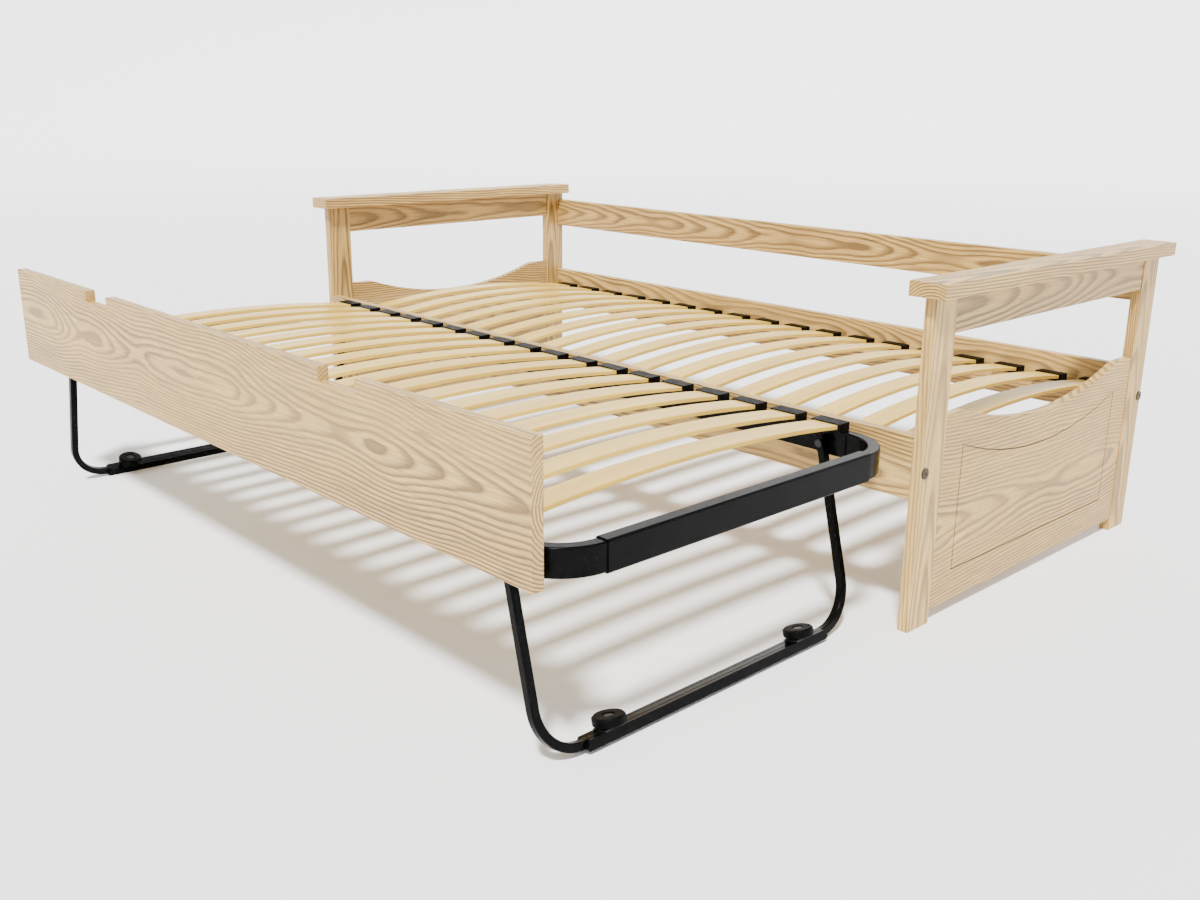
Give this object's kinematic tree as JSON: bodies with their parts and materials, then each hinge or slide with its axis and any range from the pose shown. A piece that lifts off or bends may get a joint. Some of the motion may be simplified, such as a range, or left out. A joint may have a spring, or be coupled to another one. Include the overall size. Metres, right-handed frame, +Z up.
{
  "type": "trundle bed",
  "caption": "Wooden day bed with scalloped ends and bowed slats, and a second slatted bed on folding steel legs that rolls out from its front.",
  "frame": {"origin": "on the floor, under the middle of the whole bed with the trundle pulled out", "axes": "X along the bed's length, Y from the trundle's front board towards the day bed's back, Z up"},
  "size_m": [2.026, 1.734, 0.643],
  "materials": {
    "pine": "clear lacquered knotty pine",
    "slat_wood": "pale bent laminated wood, satin",
    "black_tube": "gloss black powder coat on steel",
    "cap_plastic": "black moulded plastic",
    "wheel_plastic": "hard black plastic",
    "bronzed_steel": "dark bronze lacquered steel",
    "zinc_steel": "zinc plated"
  },
  "bodies": {
    "daybed": {"post_front_right": "pine", "post_back_right": "pine", "armrest_cap_right": "pine", "end_top_rail_right": "pine", "end_panel_right": "pine", "post_front_left": "pine", "post_back_left": "pine", "armrest_cap_left": "pine", "end_top_rail_left": "pine", "end_panel_left": "pine", "front_rail": "pine", "back_lower_rail": "pine", "back_top_rail": "pine", "slat_ledger_front": "pine", "slat_ledger_back": "pine", "bed_slats": "slat_wood", "bed_slat_caps_front": "cap_plastic", "bed_slat_caps_back": "cap_plastic", "bed_bolts": "bronzed_steel", "barrel_nuts": "zinc_steel", "rail_dowels": "slat_wood", "end_frame_dowels_right": "slat_wood", "end_frame_dowels_left": "slat_wood"},
    "trundle": {"trundle_board": "pine", "trundle_front_tube": "black_tube", "trundle_back_tube": "black_tube", "board_bolts": "zinc_steel", "trundle_slats": "slat_wood", "trundle_slat_caps_front": "cap_plastic", "trundle_slat_caps_back": "cap_plastic", "trundle_end_bar_right": "black_tube", "hinge_bracket_front_right": "black_tube", "hinge_bracket_back_right": "black_tube", "pivot_pins_right": "zinc_steel", "trundle_end_bar_left": "black_tube", "hinge_bracket_front_left": "black_tube", "hinge_bracket_back_left": "black_tube", "pivot_pins_left": "zinc_steel"},
    "leg_right": {"leg_tube_right": "black_tube", "foot_channel_right": "black_tube", "wheel_axles_right": "zinc_steel"},
    "wheel_front_right": {"wheel_front_right": "wheel_plastic"},
    "wheel_back_right": {"wheel_back_right": "wheel_plastic"},
    "leg_left": {"leg_tube_left": "black_tube", "foot_channel_left": "black_tube", "wheel_axles_left": "zinc_steel"},
    "wheel_front_left": {"wheel_front_left": "wheel_plastic"},
    "wheel_back_left": {"wheel_back_left": "wheel_plastic"}
  },
  "joints": [
    {"name": "trundle_roll", "type": "slide", "parent": "daybed", "child": "trundle", "axis": [0, 1, 0], "range_m": [-0.5, 0.015]},
    {"name": "leg_fold_right", "type": "hinge", "parent": "trundle", "child": "leg_right", "pos_m": [0.811, -0.442, 0.336], "axis": [0, 1, 0], "range_deg": [0, 97]},
    {"name": "wheel_spin_front_right", "type": "hinge", "parent": "leg_right", "child": "wheel_front_right", "pos_m": [0.88697, -0.672, 0.03128], "axis": [-0.2419, 0, 0.9703], "continuous": true},
    {"name": "wheel_spin_back_right", "type": "hinge", "parent": "leg_right", "child": "wheel_back_right", "pos_m": [0.88697, -0.212, 0.03128], "axis": [-0.2419, 0, 0.9703], "continuous": true},
    {"name": "leg_fold_left", "type": "hinge", "parent": "trundle", "child": "leg_left", "pos_m": [-0.811, -0.442, 0.336], "axis": [0, -1, 0], "range_deg": [0, 97]},
    {"name": "wheel_spin_front_left", "type": "hinge", "parent": "leg_left", "child": "wheel_front_left", "pos_m": [-0.88697, -0.672, 0.03128], "axis": [0.2419, 0, 0.9703], "continuous": true},
    {"name": "wheel_spin_back_left", "type": "hinge", "parent": "leg_left", "child": "wheel_back_left", "pos_m": [-0.88697, -0.212, 0.03128], "axis": [0.2419, 0, 0.9703], "continuous": true}
  ]
}
